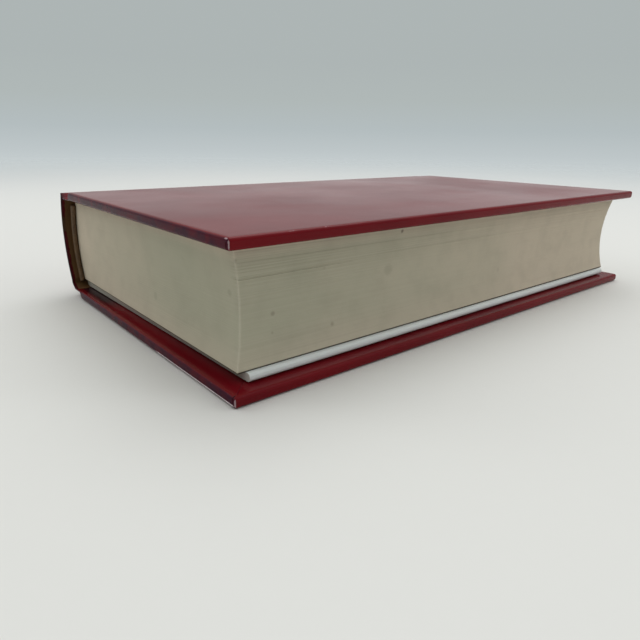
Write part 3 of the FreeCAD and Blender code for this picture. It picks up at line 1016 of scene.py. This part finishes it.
def fibrous(name):
    # noise pressed flat or drawn out into fibres
    look = fibrousLook[name]
    material, tree, shader, coords = newFinish(name)
    fibre = noise(tree, stretched(tree, coords, look["stretch"]), *look["noise"])
    colour = mixed(tree, rangeOf(tree, fibre, 0.3, 0.7), look["light"], look["dark"])
    complete(tree, shader, colour, look["roughness"], fibre, *look["bump"])
    return material


gauzeColour = {"hole": (0.36, 0.32, 0.24), "thread": (0.70, 0.66, 0.56)}


def openGauze():
    # two crossed sets of threads: the larger of two waves
    material, tree, shader, coords = newFinish("openGauze")
    threads = []
    for direction in ("X", "Y"):
        along = {"bands_direction": direction}
        wave = place(tree, "TexWave", along, Vector=coords, Scale=330.0, Distortion=0.4)
        threads.append(wave.outputs["Fac"])
    weave = calc(tree, "MAXIMUM", *threads)
    colour = mixed(tree, weave, gauzeColour["hole"], gauzeColour["thread"])
    complete(tree, shader, colour, 0.9, weave, 0.00012, 0.8)
    return material


threadColour = {
    "golden": (0.150, 0.084, 0.030), "shaded": (0.080, 0.042, 0.014), "dirt": (0.06, 0.035, 0.02)
}


def bandThread():
    material, tree, shader, coords = newFinish("goldenBandThread")
    strands = noise(tree, stretched(tree, coords, (900, 900, 2600)), 1.0, 3)
    dirt = noise(tree, coords, 160, 3)
    colour = rangeOf(tree, strands, 0.3, 0.7)
    colour = mixed(tree, colour, threadColour["golden"], threadColour["shaded"])
    colour = tinted(tree, colour, threadColour["dirt"], dirt, 0.45, 0.75, 0.5)
    complete(tree, shader, colour, 0.6, strands, 0.00005, 0.8)
    return material


finishes = {
    "covering": glossyCovering(), "leaves": pageEdges(), "white_leaves": whitePageEdges(),
    "endpaper": smoothPaper("endpaperSheet", False),
    "backEndpaper": smoothPaper("backEndpaperSheet", True),
    "board": fibrous("greyBoard"), "kraft": fibrous("kraftStrip"),
    "gauze": openGauze(), "band": bandThread(),
}


def dress(piece, slot):
    piece.data.materials.clear()
    piece.data.materials.append(finishes[slot])


ownPieces = {
    "covering": [
        frontCovering, backCovering, spineCovering, joints["frontCovering"], joints["backCovering"]
    ],
    "endpaper": [joints["frontPaper"], joints["backPaper"]],
    "backEndpaper": [freeEndpaper, gluedEndpaper],
    "leaves": [leavesBlock], "white_leaves": [whiteLeaves], "band": [tailBand, headBand],
}
for finish, pieces in ownPieces.items():
    for piece in pieces:
        dress(piece, finish)
# the solids go by the last word of their names
solidFinish = {
    "block": "leaves", "section": "white_leaves", "band": "band", "wrap": "covering",
    "flyleaf": "endpaper", "pastedown": "endpaper", "mull": "gauze", "liner": "kraft",
    "board": "board", "card": "board",
}
for name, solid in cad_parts.items():
    dress(solid, solidFinish[name.split("_")[-1]])


print("floor, light and camera")

studio = {
    "floorSize": 6.0, "floor": (0.672, 0.682, 0.652), "dimFarFloor": (0.59, 0.635, 0.64),
    "floorGrain": (0.6, 0.6, 0.57),
    # lamps: place in metres, width, power, and whether glossy faces mirror it
    "lamps": {
        "softbox": ((-0.20, 0.33, 0.95), 0.9, 3.0, True),
        "leftLamp": ((-0.42, -0.36, 0.30), 0.22, 0.38, False),
        "rightLamp": ((0.42, 0.42, 0.30), 0.22, 0.50, False),
    },
    # sine of the elevation and colour: what the camera sees; brightness for reflections and light
    "backdrop": [
        (-0.12, (0.63, 0.66, 0.665)), (-0.05, (0.585, 0.638, 0.645)),
        (-0.022, (0.515, 0.565, 0.578)), (0.015, (0.456, 0.509, 0.521)),
        (0.063, (0.434, 0.479, 0.474)), (0.12, (0.42, 0.462, 0.46)),
    ],
    "mirrored": [(0.0, 0.80), (0.07, 0.60), (0.18, 0.36), (0.45, 0.48), (1.0, 0.85)],
    "light": [(0.0, 0.45), (0.25, 0.5), (0.6, 0.95), (1.0, 1.2)],
    "darkSide": (0.767, -0.641, 0.0),  # direction that gives the least light
    "camera": (0.14118, -0.13839, 0.05277),  # place in metres
    "aim": (50.12, 18.71, 0.86),  # yaw, pitch and roll in degrees
    "lens": 30.18,
}


def addFloor():
    half = studio["floorSize"] / 2 * 1000
    corners = [(-half, -half), (half, -half), (half, half), (-half, half)]
    floor = addMesh("floor", [(x, y, -0.05) for x, y in corners], [[0, 1, 2, 3]])
    material, tree, shader, coords = newFinish("paleFloor")
    away = measured(tree, "LENGTH", coords)
    grain = noise(tree, coords, 240, 4)
    # painted light fall-off: the floor is painted darker and bluer away from the book
    far = rangeOf(tree, away, 0.12, 1.1, smooth=True)
    colour = mixed(tree, far, studio["floor"], studio["dimFarFloor"])
    colour = tinted(tree, colour, studio["floorGrain"], grain, 0.3, 0.7, 0.04)
    tree.links.new(colour, shader.inputs["Base Color"])
    shader.inputs["Roughness"].default_value = 0.7
    # for the camera, the floor fades into the backdrop
    seen = place(tree, "LightPath").outputs["Is Camera Ray"]
    fading = calc(tree, "MULTIPLY", rangeOf(tree, away, 0.40, 1.5, smooth=True), seen)
    clear = place(tree, "BsdfTransparent").outputs["BSDF"]
    both = place(tree, "MixShader", i0=fading, i1=shader.outputs["BSDF"], i2=clear)
    tree.links.new(both.outputs["Shader"], tree.nodes["Material Output"].inputs["Surface"])
    floor.data.materials.append(material)


def addWorld():
    # brightness by elevation, and darker on the side that the camera stands on
    world = bpy.data.worlds.new("studioLight")
    bpy.context.scene.world = world
    world.use_nodes = True
    tree = world.node_tree
    direction = place(tree, "TexCoord").outputs["Generated"]
    up = partsOf(tree, direction)["Z"]
    lowest, highest = studio["backdrop"][0][0], studio["backdrop"][-1][0]
    stops = [((level - lowest) / (highest - lowest), colour) for level, colour in studio["backdrop"]]
    seen = ramp(tree, rangeOf(tree, up, lowest, highest), stops)
    above = rangeOf(tree, up, 0.0, 1.0)
    mirrored, light = (
        ramp(tree, above, [(level, (share, share, share)) for level, share in studio[name]])
        for name in ("mirrored", "light")
    )
    toward = measured(tree, "DOT_PRODUCT", direction, studio["darkSide"])
    shade = rangeOf(tree, toward, 0.2, 0.95, 1.0, 0.1, smooth=True)
    shades = place(tree, "CombineColor", i0=shade, i1=shade, i2=shade).outputs["Color"]
    path = place(tree, "LightPath").outputs
    colour = mixed(tree, 1.0, light, shades, "MULTIPLY")
    colour = mixed(tree, path["Is Glossy Ray"], colour, mirrored)
    direct = calc(tree, "MAXIMUM", path["Is Camera Ray"], path["Is Transmission Ray"])
    colour = mixed(tree, direct, colour, seen)
    tree.links.new(colour, tree.nodes["Background"].inputs["Color"])


def ramp(tree, value, stops):
    made = place(tree, "ValToRGB", Fac=value)
    elements = made.color_ramp.elements
    while len(elements) < len(stops):
        elements.new(0.5)
    for element, (position, colour) in zip(elements, stops):
        element.position = position
        element.color = (*colour, 1)
    return made.outputs["Color"]


def addLamps():
    for name, (spot, width, power, mirrored) in studio["lamps"].items():
        lamp = bpy.data.lights.new(name, "AREA")
        lamp.energy = power
        lamp.size = width
        holder = bpy.data.objects.new(name, lamp)
        holder.location = spot
        holder.visible_glossy = mirrored
        holder.rotation_euler = (holder.location * -1).to_track_quat("-Z", "Y").to_euler()
        bpy.context.scene.collection.objects.link(holder)


def addCamera():
    # the photograph's viewpoint: low, close to the corner between fore-edge and tail
    yaw, pitch, roll = (math.radians(angle) for angle in studio["aim"])
    turned = Matrix.Rotation(yaw, 4, "Z") @ Matrix.Rotation(math.pi / 2 - pitch, 4, "X")
    camera = bpy.data.cameras.new("camera")
    camera.lens = studio["lens"]
    camera.sensor_width = 36
    camera.clip_start = 0.005
    camera.clip_end = 20
    holder = bpy.data.objects.new("camera", camera)
    turned = turned @ Matrix.Rotation(roll, 4, "Z")
    holder.matrix_world = Matrix.Translation(studio["camera"]) @ turned
    bpy.context.scene.collection.objects.link(holder)
    bpy.context.scene.camera = holder


addFloor()
addWorld()
addLamps()
addCamera()
bpy.context.scene.view_settings.view_transform = "Standard"

print("done")
